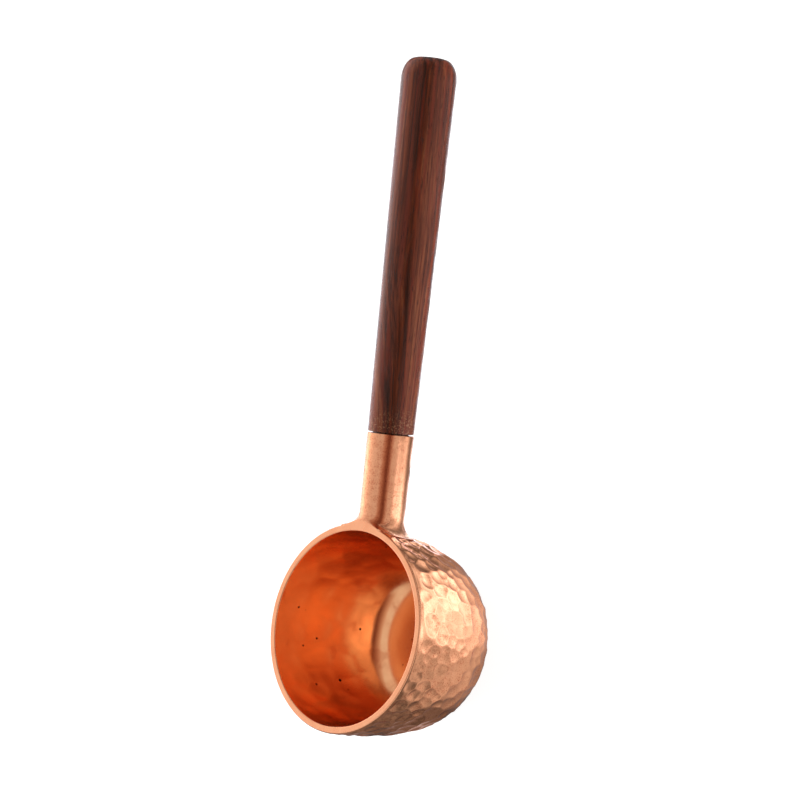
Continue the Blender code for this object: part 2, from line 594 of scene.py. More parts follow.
@dataclass(frozen=True)
class CopperFinish:
    """How one of the copper surfaces looks.

    Attributes:
        name: Name of the material.
        colour: Colour of the clean metal.
        tarnish: Colour of the clouds of tarnish and of the grain's marks.
        tarnish_size: Size of a cloud.
        tarnish_amount: How strongly the clouds show.
        roughness: Mean roughness.
        roughness_spread: How much rougher the clouds are, and how much smoother the clean metal.
        grain_size: Size of the sandy grain.
        grain_height: Height of the grain.
        grain_shade: How strongly the grain is marked in colour.
        grain_marks: The part of the grain that is marked.
        grain_patches: Strength of the marks on clean metal and on tarnish.
        stain: Colour of the stains, which surfaces with specks have.
        stain_marks: The part of the clouds that is stained, and how much.
        speck: Colour of the specks.
        speck_size: Size of a speck, or 0 for none.
        speck_scale: How close the specks lie.
        edge_tint: Tint of the metal where it is seen at a flat angle.
        brushed: How much higher the grain is over the brushed band.
        brushed_band: Heights between which the brushing sets in.
    """

    name: str
    colour: Colour
    tarnish: Colour
    tarnish_size: float
    tarnish_amount: float
    roughness: float
    roughness_spread: float
    grain_size: float
    grain_height: float
    grain_shade: float = 0.0
    grain_marks: Fade = Fade(0.51, 0.64)
    grain_patches: Pair = (0.35, 1.3)
    stain: Colour = tone(214, 122, 78)
    stain_marks: Fade = Fade(0.78, 0.98, 0.0, 0.35)
    speck: Colour = tone(60, 20, 8)
    speck_size: float = 0.0
    speck_scale: float = 330.0
    edge_tint: Colour = WHITE
    brushed: float = 1.0
    brushed_band: Pair = (0.021, 0.029)


@dataclass(frozen=True)
class WoodFinish:
    """How the oiled wood looks, and how its grain runs along the handle.

    Attributes:
        name: Name of the material.
        vein: Colour of the veins and pores.
        dark: Colour of the dark streaks.
        middle: Colour of most of the wood.
        light: Colour of the light streaks.
        red: Colour of the reddish streaks.
        fleck: Colour of the pale flecks near the neck.
        vein_places: Where the colours from vein to light lie in the streaks' pattern.
        sway: How far the layers sway.
        sway_scale: How often they sway.
        sway_draw: How drawn out the swaying is along the handle.
        slant_side: The side of the handle on which the layers slant.
        slant_run: Where along the handle they slant, and how far.
        layers_across: How close the layers lie across the grain.
        layers_inward: How close they lie the other way.
        layers_along: How close they lie along the handle.
        layers_sway: Share of the sway that goes across.
        broad_scale: How fine the broad streaks are.
        fine_scale: How fine the fine streaks are.
        red_scale: How fine the reddish streaks are.
        red_marks: The part that is reddish, and how much.
        pore_scale: How fine the pores are.
        pore_draw: How drawn out the pores are.
        pore_marks: The part of the wood that is open in pores.
        pore_shade: How dark the pores are.
        fleck_scale: How fine the flecks are.
        fleck_marks: The part that is flecked, and how much.
        fleck_end: Where the flecks end along the handle.
        relief: Depth of the pores.
        relief_fine: Share of the fine streaks in the relief.
        roughness: Roughness from the dark streaks to the light ones.
        shine: Strength of the reflections.
    """

    name: str
    vein: Colour
    dark: Colour
    middle: Colour
    light: Colour
    red: Colour
    fleck: Colour
    vein_places: tuple[float, float, float, float] = (0.36, 0.45, 0.54, 0.64)
    sway: float = 0.005
    sway_scale: float = 120.0
    sway_draw: float = 0.16
    slant_side: Fade = Fade(-0.002, 0.005, 1.0, 0.0)
    slant_run: Fade = Fade(0.020, 0.062, -0.0055, 0.0)
    layers_across: float = 0.71
    layers_inward: float = 0.27
    layers_along: float = 0.022
    layers_sway: float = 0.6
    broad_scale: float = 480.0
    fine_scale: float = 1900.0
    red_scale: float = 900.0
    red_marks: Fade = Fade(0.50, 0.62, 0.0, 0.55)
    pore_scale: float = 4200.0
    pore_draw: float = 0.08
    pore_marks: Fade = Fade(0.60, 0.70)
    pore_shade: float = 0.6
    fleck_scale: float = 2600.0
    fleck_marks: Fade = Fade(0.55, 0.66, 0.0, 0.6)
    fleck_end: Fade = Fade(0.030, 0.025)
    relief: float = 0.00003
    relief_fine: float = 0.4
    roughness: Fade = Fade(0.3, 0.7, 0.31, 0.20)
    shine: float = 0.2

    def layers(self, nodes: Nodes, along: bpy.types.NodeSocket) -> bpy.types.NodeSocket:
        """Leans and sways the wood's layers, which slant out near the neck on one side.

        Args:
            nodes: The material's node maker.
            along: The place on the handle, with Z along its axis.

        Returns:
            The place in the layers, for noise to read.
        """
        x, y, z = nodes.parts(along)
        wave = nodes.noise(nodes.drawn_out(along, self.sway_draw), self.sway_scale)
        sway = nodes.times(nodes.minus(wave, 0.5), self.sway)
        aside = nodes.minus(x, y)
        slant = nodes.times(nodes.fade(z, self.slant_run), nodes.fade(aside, self.slant_side))
        shift = nodes.plus(nodes.times(sway, self.layers_sway), slant)
        inputs = {
            "X": nodes.plus(nodes.times(aside, self.layers_across), shift),
            "Y": nodes.plus(nodes.times(nodes.plus(x, y), self.layers_inward), sway),
            "Z": nodes.times(z, self.layers_along),
        }
        return nodes.add("ShaderNodeCombineXYZ", inputs).outputs["Vector"]


class Nodes:
    """Adds nodes and links to one node tree, for short material code."""

    def __init__(self, tree: bpy.types.NodeTree) -> None:
        """Starts on the tree of a material, world or group."""
        self.tree = tree

    def add(
        self,
        kind: str,
        inputs: dict[str | int, object] | None = None,
        **settings: object,
    ) -> bpy.types.Node:
        """Adds a node, sets its fields, and fills or links its inputs.

        Args:
            kind: The node's type.
            inputs: Values or sockets by the input's name or number.
            **settings: Fields of the node.

        Returns:
            The new node.
        """
        node = self.tree.nodes.new(kind)
        for key, value in settings.items():
            setattr(node, key, value)
        for key, value in (inputs or {}).items():
            self.put(value, node.inputs[key])
        return node

    def put(self, value: object, target: bpy.types.NodeSocket) -> None:
        """Links a socket to an input, or sets the input to a plain value.

        Args:
            value: The socket or the value.
            target: The input.
        """
        if isinstance(value, bpy.types.NodeSocket):
            self.tree.links.new(value, target)
        else:
            target.default_value = value

    def math(
        self,
        operation: str,
        first: object,
        second: object = 0.0,
        clamp: bool = False,
    ) -> bpy.types.NodeSocket:
        """The result of a Math node."""
        node = self.add("ShaderNodeMath", {0: first, 1: second}, operation=operation, use_clamp=clamp)
        return node.outputs[0]

    def plus(self, first: object, second: object) -> bpy.types.NodeSocket:
        """The sum of two values."""
        return self.math("ADD", first, second)

    def minus(self, first: object, second: object) -> bpy.types.NodeSocket:
        """The first value less the second."""
        return self.math("SUBTRACT", first, second)

    def times(self, first: object, second: object) -> bpy.types.NodeSocket:
        """The product of two values."""
        return self.math("MULTIPLY", first, second)

    def larger(self, first: object, second: object) -> bpy.types.NodeSocket:
        """The larger of two values."""
        return self.math("MAXIMUM", first, second)

    def parts(self, vector: object) -> tuple[bpy.types.NodeSocket, ...]:
        """The X, Y and Z of a vector."""
        return tuple(self.add("ShaderNodeSeparateXYZ", {"Vector": vector}).outputs)

    def place(self) -> bpy.types.NodeSocket:
        """The place on the piece, in metres."""
        return self.add("ShaderNodeTexCoord").outputs["Object"]

    def drawn_out(self, vector: object, share: float) -> bpy.types.NodeSocket:
        """A place whose Z counts only for a share, so that patterns are drawn out along it."""
        return self.add("ShaderNodeMapping", {"Vector": vector, "Scale": (1.0, 1.0, share)}).outputs["Vector"]

    def mix(self, share: object, first: object, second: object) -> bpy.types.NodeSocket:
        """The result of mixing two colours.

        Args:
            share: How much of the second colour goes in, from 0 to 1.
            first: The first colour.
            second: The second colour.

        Returns:
            The mixed colour.
        """
        node = self.add("ShaderNodeMix", data_type="RGBA")
        for name, value in (("Factor_Float", share), ("A_Color", first), ("B_Color", second)):
            self.put(value, next(item for item in node.inputs if item.identifier == name))
        return next(item for item in node.outputs if item.identifier == "Result_Color")

    def fade(self, value: object, fade: Fade) -> bpy.types.NodeSocket:
        """The level that a fade has at a value.

        Args:
            value: The value.
            fade: The change wanted.

        Returns:
            The level.
        """
        inputs = {
            "Value": value,
            "From Min": fade.start,
            "From Max": fade.end,
            "To Min": fade.first,
            "To Max": fade.last,
        }
        return self.add("ShaderNodeMapRange", inputs, clamp=True).outputs["Result"]

    def ramp(self, value: object, stops: list[tuple[float, Colour]]) -> bpy.types.NodeSocket:
        """A colour that runs through stops.

        Args:
            value: The value that picks the colour.
            stops: Values from 0 to 1 in order, with their colours.

        Returns:
            The colour.
        """
        node = self.add("ShaderNodeValToRGB", {"Fac": value})
        elements = node.color_ramp.elements
        for i, (position, colour) in enumerate(stops):
            if i == 0:
                spot = elements[0]
            elif i == len(stops) - 1:
                spot = elements[-1]
            else:
                spot = elements.new(position)
            spot.position = position
            spot.color = colour
        return node.outputs["Color"]

    def levels(self, value: object, stops: Levels) -> bpy.types.NodeSocket:
        """A curve through levels.

        Args:
            value: The value that picks the level.
            stops: Values from 0 to 1 in order, with their levels.

        Returns:
            The level.
        """
        brightest = max(level for _, level in stops)
        greys = []
        for position, level in stops:
            grey = level / brightest
            greys.append((position, (grey, grey, grey, 1.0)))
        return self.times(self.ramp(value, greys), brightest)

    def noise(
        self,
        vector: object,
        scale: object,
        detail: float = 1.0,
        roughness: float = 0.5,
    ) -> bpy.types.NodeSocket:
        """The value of a noise pattern."""
        inputs = {"Vector": vector, "Scale": scale, "Detail": detail, "Roughness": roughness}
        return self.add("ShaderNodeTexNoise", inputs).outputs["Fac"]


def blank_material(name: str) -> tuple[bpy.types.Material, Nodes]:
    """Starts a material of a floor or card.

    Args:
        name: The material's name.

    Returns:
        The material without nodes, and its node maker.
    """
    material = bpy.data.materials.new(name)
    material.use_nodes = True
    material.node_tree.nodes.clear()
    return material, Nodes(material.node_tree)


def new_group(
    name: str,
    inputs: dict[str, float | None],
    outputs: tuple[str, ...],
) -> tuple[Nodes, bpy.types.Node, bpy.types.Node]:
    """Starts a shader node group.

    Args:
        name: The group's name.
        inputs: Default of each input by name, None for a vector.
        outputs: Names of its outputs, which are all values.

    Returns:
        The node maker, the group's input node and its output node.
    """
    tree = bpy.data.node_groups.new(name, "ShaderNodeTree")
    for label, default in inputs.items():
        kind = "NodeSocketVector" if default is None else "NodeSocketFloat"
        socket = tree.interface.new_socket(label, in_out="INPUT", socket_type=kind)
        if default is not None:
            socket.default_value = default
    for label in outputs:
        tree.interface.new_socket(label, in_out="OUTPUT", socket_type="NodeSocketFloat")
    nodes = Nodes(tree)
    return nodes, nodes.add("NodeGroupInput"), nodes.add("NodeGroupOutput")


@dataclass(frozen=True)
class Tarnish:
    """Soft clouds of tarnish, and the fine sandy grain that rubbing leaves on copper."""

    cloud_scale: float = 200.0
    cloud_detail: float = 5.0
    cloud_roughness: float = 0.6
    cloud_marks: Fade = Fade(0.38, 0.66)
    grain_scale: float = 6000.0
    grain_detail: float = 3.0
    grain_roughness: float = 0.7

    def build(self) -> bpy.types.NodeTree:
        """Builds the node group.

        Returns:
            The group, which gives Cloud and Grain.
        """
        nodes, given, result = new_group(
            "copper_tarnish",
            {"Vector": None, "Cloud Scale": self.cloud_scale, "Grain Scale": self.grain_scale},
            ("Cloud", "Grain"),
        )
        place = given.outputs["Vector"]
        cloud = nodes.noise(place, given.outputs["Cloud Scale"], self.cloud_detail, self.cloud_roughness)
        grain = nodes.noise(place, given.outputs["Grain Scale"], self.grain_detail, self.grain_roughness)
        nodes.put(nodes.fade(cloud, self.cloud_marks), result.inputs["Cloud"])
        nodes.put(grain, result.inputs["Grain"])
        return nodes.tree


@dataclass(frozen=True)
class Specks:
    """Sparse tiny dark specks, such as pits in copper."""

    scale: float = 300.0
    size: float = 0.1
    bare: float = 0.62
    smallest: float = 0.4

    def build(self) -> bpy.types.NodeTree:
        """Builds the node group.

        Returns:
            The group, which gives a Mask.
        """
        nodes, given, result = new_group(
            "dark_specks",
            {"Vector": None, "Scale": self.scale, "Size": self.size},
            ("Mask",),
        )
        inputs = {"Vector": given.outputs["Vector"], "Scale": given.outputs["Scale"]}
        cells = nodes.add("ShaderNodeTexVoronoi", inputs)
        chance = nodes.add("ShaderNodeSeparateColor", {"Color": cells.outputs["Color"]})
        kept = nodes.math("GREATER_THAN", chance.outputs["Red"], self.bare)
        size = nodes.times(given.outputs["Size"], nodes.plus(chance.outputs["Green"], self.smallest))
        dot = nodes.math("LESS_THAN", cells.outputs["Distance"], size)
        nodes.put(nodes.times(kept, dot), result.inputs["Mask"])
        return nodes.tree


class Surface:
    """A material of one of the scoop's pieces, with its shader."""

    def __init__(self, name: str, preview: Colour) -> None:
        """Starts the material.

        Args:
            name: The material's name.
            preview: Its plain colour in a viewport.
        """
        self.material = bpy.data.materials.new(name)
        self.material.use_nodes = True
        self.material.diffuse_color = preview
        self.nodes = Nodes(self.material.node_tree)
        self.shader = self.material.node_tree.nodes["Principled BSDF"]

    def dress(self, colour: object, roughness: object, height: object, relief: float) -> None:
        """Links the patterns to the shader.

        Args:
            colour: The base colour.
            roughness: The roughness.
            height: The height of the fine relief, from 0 to 1.
            relief: The depth of the relief.
        """
        inputs = {"Height": height, "Strength": 1.0, "Distance": relief}
        bump = self.nodes.add("ShaderNodeBump", inputs)
        self.nodes.put(colour, self.shader.inputs["Base Color"])
        self.nodes.put(roughness, self.shader.inputs["Roughness"])
        self.nodes.put(bump.outputs["Normal"], self.shader.inputs["Normal"])


class Finishes:
    """Makes the materials of the scoop and keeps the node groups that they share."""

    def __init__(self) -> None:
        """Builds the shared groups once."""
        self.tarnish = Tarnish().build()
        self.specks = Specks().build()

    def copper(self, finish: CopperFinish) -> bpy.types.Material:
        """A copper material.

        Args:
            finish: The look wanted.

        Returns:
            The new material.
        """
        surface = Surface(finish.name, finish.colour)
        nodes = surface.nodes
        place = nodes.place()
        scales = {"Cloud Scale": 1 / finish.tarnish_size, "Grain Scale": 1 / finish.grain_size}
        tarnish = nodes.add("ShaderNodeGroup", {"Vector": place, **scales}, node_tree=self.tarnish)
        cloud, grain = tarnish.outputs["Cloud"], tarnish.outputs["Grain"]
        few, many = finish.grain_patches
        patches = nodes.fade(cloud, Fade(0.0, 1.0, few * finish.grain_shade, many * finish.grain_shade))
        marks = nodes.times(nodes.fade(grain, finish.grain_marks), patches)
        share = nodes.math("ADD", nodes.times(cloud, finish.tarnish_amount), marks, clamp=True)
        colour = nodes.mix(share, finish.colour, finish.tarnish)
        if finish.speck_size > 0:
            sizes = {"Scale": finish.speck_scale, "Size": finish.speck_size}
            specks = nodes.add("ShaderNodeGroup", {"Vector": place, **sizes}, node_tree=self.specks)
            colour = nodes.mix(nodes.fade(cloud, finish.stain_marks), colour, finish.stain)
            colour = nodes.mix(specks.outputs["Mask"], colour, finish.speck)
        height = grain
        if finish.brushed > 1:
            level = nodes.parts(place)[2]
            height = nodes.times(grain, nodes.fade(level, Fade(*finish.brushed_band, 1.0, finish.brushed)))
        low = finish.roughness - finish.roughness_spread
        high = finish.roughness + finish.roughness_spread
        surface.dress(colour, nodes.fade(cloud, Fade(0.0, 1.0, low, high)), height, finish.grain_height)
        surface.shader.inputs["Metallic"].default_value = 1.0
        surface.shader.inputs["Specular Tint"].default_value = finish.edge_tint
        return surface.material

    def wood(self, finish: WoodFinish, axis: HandleAxis) -> bpy.types.Material:
        """Dark wood with streaks and short pores along the handle.

        Args:
            finish: The look wanted.
            axis: The line that the grain follows.

        Returns:
            The new material.
        """
        surface = Surface(finish.name, finish.middle)
        nodes = surface.nodes
        inputs = {"Vector": nodes.place(), "Location": axis.origin, "Rotation": (0.0, axis.turn, 0.0)}
        along = nodes.add("ShaderNodeMapping", inputs, vector_type="TEXTURE").outputs["Vector"]
        layers = finish.layers(nodes, along)
        broad = nodes.noise(layers, finish.broad_scale, detail=2.0)
        fine = nodes.noise(layers, finish.fine_scale, detail=4.0, roughness=0.7)
        streak = nodes.times(nodes.plus(broad, fine), 0.5)
        tones = (finish.vein, finish.dark, finish.middle, finish.light)
        colour = nodes.ramp(streak, list(zip(finish.vein_places, tones)))
        red = nodes.fade(nodes.noise(layers, finish.red_scale), finish.red_marks)
        threads = nodes.drawn_out(along, finish.pore_draw)
        pores = nodes.fade(nodes.noise(threads, finish.pore_scale), finish.pore_marks)
        flecks = nodes.fade(nodes.noise(along, finish.fleck_scale), finish.fleck_marks)
        flecks = nodes.times(flecks, nodes.fade(nodes.parts(along)[2], finish.fleck_end))
        colour = nodes.mix(red, colour, finish.red)
        colour = nodes.mix(nodes.times(pores, finish.pore_shade), colour, finish.vein)
        colour = nodes.mix(flecks, colour, finish.fleck)
        height = nodes.minus(nodes.times(fine, finish.relief_fine), pores)
        surface.dress(colour, nodes.fade(streak, finish.roughness), height, finish.relief)
        surface.shader.inputs["Specular IOR Level"].default_value = finish.shine
        return surface.material


HAMMERED = CopperFinish(
    name="hammered_copper",
    colour=tone(231, 163, 123),
    tarnish=tone(188, 98, 64),
    tarnish_size=0.004,
    tarnish_amount=0.12,
    roughness=0.11,
    roughness_spread=0.03,
    grain_size=0.00035,
    grain_height=0.000006,
    grain_shade=0.65,
    edge_tint=(0.89, 0.70, 0.65, 1.0),
)
RIM = CopperFinish(
    name="rim_copper",
    colour=tone(240, 170, 130),
    tarnish=tone(226, 142, 102),
    tarnish_size=0.004,
    tarnish_amount=0.4,
    roughness=0.26,
    roughness_spread=0.04,
    grain_size=0.00018,
    grain_height=0.000005,
    grain_shade=0.15,
)
POLISHED = CopperFinish(
    name="polished_copper",
    colour=tone(254, 189, 139),
    tarnish=tone(243, 164, 116),
    tarnish_size=0.006,
    tarnish_amount=0.5,
    roughness=0.21,
    roughness_spread=0.04,
    grain_size=0.0002,
    grain_height=0.000003,
    speck_size=0.11,
    brushed=18.0,
)
SATIN = CopperFinish(
    name="satin_copper",
    colour=tone(237, 167, 127),
    tarnish=tone(198, 104, 70),
    tarnish_size=0.0016,
    tarnish_amount=0.25,
    roughness=0.20,
    roughness_spread=0.03,
    grain_size=0.0003,
    grain_height=0.000016,
    grain_shade=0.7,
)
BRAZE = CopperFinish(
    name="braze_alloy",
    colour=tone(222, 146, 108),
    tarnish=tone(196, 108, 74),
    tarnish_size=0.0012,
    tarnish_amount=0.4,
    roughness=0.26,
    roughness_spread=0.05,
    grain_size=0.0003,
    grain_height=0.000012,
    grain_shade=0.2,
)
ROSEWOOD = WoodFinish(
    name="rosewood",
    vein=tone(43, 20, 12),
    dark=tone(71, 31, 18),
    middle=tone(98, 45, 26),
    light=tone(126, 69, 42),
    red=tone(106, 38, 24),
    fleck=tone(150, 104, 74),
)


@dataclass
class HammeredBowl:
    """The raised copper bowl."""

    shape: BowlShape
    neck: NeckShape
    hammering: HammerWork = HammerWork()
    smoothing: HammerWork = HammerWork(
        spacing=0.0050,
        ring_spacing=0.0054,
        depth=0.00007,
        depth_spread=0.5,
        dome=0.045,
        stretch=1.3,
        ridge=0.00004,
        seed=5,
    )
    steps: int = 512
    row: float = 0.00032
    foot_row: float = 0.0016
    inner_row: float = 0.00076
    ripple: float = 0.00010
    ripple_size: float = 0.008
    foot_share: float = 0.35
    foot_fade: float = 0.0015
    lip_clear: float = 0.0005
    neck_fade: Pair = (-0.0008, 0.0010)
    floor_fade: Pair = (0.0025, 0.007)
    mouth_fade: Pair = (0.0004, 0.002)
    rim_share: float = 0.4
    wall_margin: float = 0.0008
    sharp: float = math.radians(60)

    def build(self, finishes: Finishes) -> bpy.types.Object:
        """Spins, hammers and dresses the bowl.

        Args:
            finishes: The maker of its materials.

        Returns:
            The finished piece.
        """
        profile = self.shape.outside()
        outside = resampled(profile[:-1], self.row) + resampled(profile[-2:], self.foot_row)[1:]
        inside = resampled(self.shape.inside(), self.inner_row)
        bm = turned(inside + self.shape.rim() + outside, self.steps)
        self.mark_zones(bm)
        self.hammer(bm)
        materials = [finishes.copper(finish) for finish in (HAMMERED, RIM, POLISHED)]
        return finished("hammered_bowl", bm, materials, self.sharp)

    def mark_zones(self, bm: bmesh.types.BMesh) -> None:
        """Gives each face the material of its zone.

        Args:
            bm: The turned bowl.
        """
        rim_level = self.shape.height - self.shape.rim_rounding * self.rim_share
        for face in bm.faces:
            centre = face.calc_center_median()
            radius = math.hypot(centre.x, centre.y)
            inner = radius < self.shape.wall_radius(centre.z) - self.wall_margin
            zone = Zone.OUTSIDE
            if centre.z > rim_level:
                zone = Zone.RIM
            elif centre.z > self.shape.floor_height / 2 and inner:
                zone = Zone.INSIDE
            face.material_index = zone.value

    def hammer(self, bm: bmesh.types.BMesh) -> None:
        """Drives the blows into the outside, and leaves faint facets and ripples on the inside.

        Args:
            bm: The turned bowl with its zones marked.
        """
        bm.normal_update()
        blows = Blows(self.hammering, self.shape.outside())
        facets = Blows(self.smoothing, self.shape.inside())
        to_neck = HandleAxis(self.shape, self.neck).matrix.inverted()
        moves = []
        for vert in bm.verts:
            zones = {face.material_index for face in vert.link_faces}
            if zones == {Zone.OUTSIDE.value}:
                depth = blows.depth(vert.co) * self.outer_share(vert.co, to_neck)
                moves.append((vert, vert.normal * -depth))
            elif zones == {Zone.INSIDE.value}:
                swell = noise.noise(vert.co / self.ripple_size) * self.ripple
                depth = facets.depth(vert.co) * self.inner_share(vert.co.z)
                moves.append((vert, vert.normal * (swell - depth)))
        for vert, move in moves:
            vert.co += move

    def outer_share(self, point: Vector, to_neck: Matrix) -> float:
        """How much of a blow reaches a point of the outside: less at the lip, the foot and the neck.

        Args:
            point: The point before the hammering.
            to_neck: The way from the bowl's frame to the neck's.

        Returns:
            A share from 0 to 1.
        """
        share = eased(self.shape.height - point.z, self.lip_clear, self.hammering.first_ring)
        share *= self.foot_share + (1 - self.foot_share) * eased(point.z, 0.0, self.foot_fade)
        if point.x > 0:
            local = to_neck @ point
            away = math.hypot(local.x, local.y)
            foot = self.neck.foot_radius + self.neck.flare_out(0.0, -local.x / max(away, TINY))
            share *= eased(away, foot + self.neck_fade[0], foot + self.neck_fade[1])
        return share

    def inner_share(self, height: float) -> float:
        """How much of a facet shows at a height inside: less at the floor and under the rim."""
        return eased(height, *self.floor_fade) * eased(self.shape.height - height, *self.mouth_fade)


@dataclass
class CopperNeck:
    """The copper tube with its flared foot, and the braze round the foot."""

    axis: HandleAxis
    steps: int = 160
    row: float = 0.0012
    foot_rows: int = 14
    foot_crowding: float = 1.6
    mouth_points: int = 4
    bend: float = 1.4
    seam_width: float = 0.00035
    seam_height: float = 0.00012
    seam_sink: float = 0.00004
    seam_points: int = 12
    sharp: float = math.radians(50)

    def build(self, finishes: Finishes) -> bpy.types.Object:
        """Makes the tube.

        Args:
            finishes: The maker of its material.

        Returns:
            The finished piece.
        """
        neck = self.axis.neck
        bore = neck.radius - neck.wall
        reach = neck.flare_reach()
        outer = [(neck.foot_radius, -neck.sink)]
        for i in range(self.foot_rows + 1):
            outer.append((neck.foot_radius, reach * (i / self.foot_rows) ** self.foot_crowding))
        edge = neck.mouth_break
        top = neck.length - edge
        shank = resampled([(neck.foot_radius, reach), (neck.radius, top)], self.row)[1:]
        mouth = arc((neck.radius - edge, top), (edge, edge), 0.0, math.pi / 2, self.mouth_points)[1:]
        inner = resampled([(bore, neck.length), (neck.foot_radius - neck.wall, -neck.sink)], self.row)
        bm = turned(outer + shank + mouth + inner, self.steps, closed=True)
        neck.flare_foot(bm)
        self.axis.bend_to_wall(bm, reach * self.bend)
        bm.transform(self.axis.matrix)
        self.axis.dress_to_rim(bm, neck.rim_film)
        materials = [finishes.copper(SATIN), finishes.copper(RIM)]
        return finished("copper_neck", bm, materials, self.sharp)

    def build_seam(self, finishes: Finishes) -> bpy.types.Object:
        """Makes the ring of braze that runs out onto the bowl's wall.

        Args:
            finishes: The maker of its material.

        Returns:
            The finished piece.
        """
        neck = self.axis.neck
        size = (self.seam_width, self.seam_height)
        section = arc((neck.foot_radius, 0.0), size, 0.0, math.tau, self.seam_points)[:-1]
        bm = turned(section, self.steps, closed=True)
        for vert in bm.verts:
            radius = math.hypot(vert.co.x, vert.co.y)
            wider = 1 + neck.flare_out(0.0, -vert.co.x / radius) / radius
            vert.co.x *= wider
            vert.co.y *= wider
            vert.co.z -= self.axis.wall_below(vert.co.x, vert.co.y)
        bm.transform(self.axis.matrix)
        self.axis.dress_to_rim(bm, -self.seam_sink)
        materials = [finishes.copper(BRAZE), finishes.copper(RIM)]
        return finished("braze_seam", bm, materials, self.sharp)


@dataclass
class TurnedHandle:
    """The turned wooden handle with its tenon."""

    axis: HandleAxis
    length: float = 0.0908
    shoulder_radius: float = 0.0056
    shoulder_break: float = 0.0002
    shoulder_break_fall: float = 0.3
    grip_radius: float = 0.00672
    gap: float = 0.0003
    tenon: float = 0.0150
    tenon_chamfer: float = 0.0008
    round_length: float = 0.0052
    round_depth: float = 0.0034
    round_points: int = 20
    dome: float = 0.0003
    dome_reach: float = 1.02
    dome_points: int = 8
    row: float = 0.001
    steps: int = 128
    sharp: float = math.radians(40)

    def build(self, finishes: Finishes) -> bpy.types.Object:
        """Turns the handle.

        Args:
            finishes: The maker of its material.

        Returns:
            The finished piece.
        """
        shoulder = self.axis.neck.length + self.gap
        profile = self.grip(shoulder, shoulder + self.length) + self.stub(shoulder)
        bm = turned(profile, self.steps)
        bm.transform(self.axis.matrix)
        return finished("turned_handle", bm, [finishes.wood(ROSEWOOD, self.axis)], self.sharp)

    def grip(self, shoulder: float, end: float) -> Profile:
        """The line of the part that is held.

        Args:
            shoulder: Where the shoulder stands along the axis.
            end: Where the handle's domed end is.

        Returns:
            Points from the middle of the end to the inner edge of the broken shoulder.
        """
        middle = (self.grip_radius - self.round_depth, end - self.dome - self.round_length)
        dome = (middle[0] * self.dome_reach, self.dome)
        face = arc((0.0, end - self.dome), dome, math.pi / 2, 0.0, self.dome_points)[:-1]
        rounding = arc(middle, (self.round_depth, self.round_length), math.pi / 2, 0.0, self.round_points)
        start = (self.shoulder_radius, shoulder + self.shoulder_break)
        side = resampled([rounding[-1], start], self.row)[1:]
        fall = self.shoulder_break * self.shoulder_break_fall
        edge = [
            (self.shoulder_radius - fall, shoulder + fall),
            (self.shoulder_radius - self.shoulder_break, shoulder),
        ]
        return face + rounding + side + edge

    def stub(self, shoulder: float) -> Profile:
        """The line of the tenon in the neck.

        Args:
            shoulder: Where the shoulder stands along the axis.

        Returns:
            Points from the shoulder to the middle of the tenon's end.
        """
        neck = self.axis.neck
        radius = neck.radius - neck.wall - self.gap
        low = neck.length - self.tenon
        return [
            (radius, shoulder),
            (radius, low + self.tenon_chamfer),
            (radius - self.tenon_chamfer, low),
            (0.0, low),
        ]


@dataclass(frozen=True)
class SoftLamp:
    """A soft studio lamp, placed by the direction that its light comes from, in degrees."""

    name: str
    azimuth: float
    elevation: float
    distance: float
    width: float
    height: float
    brightness: float


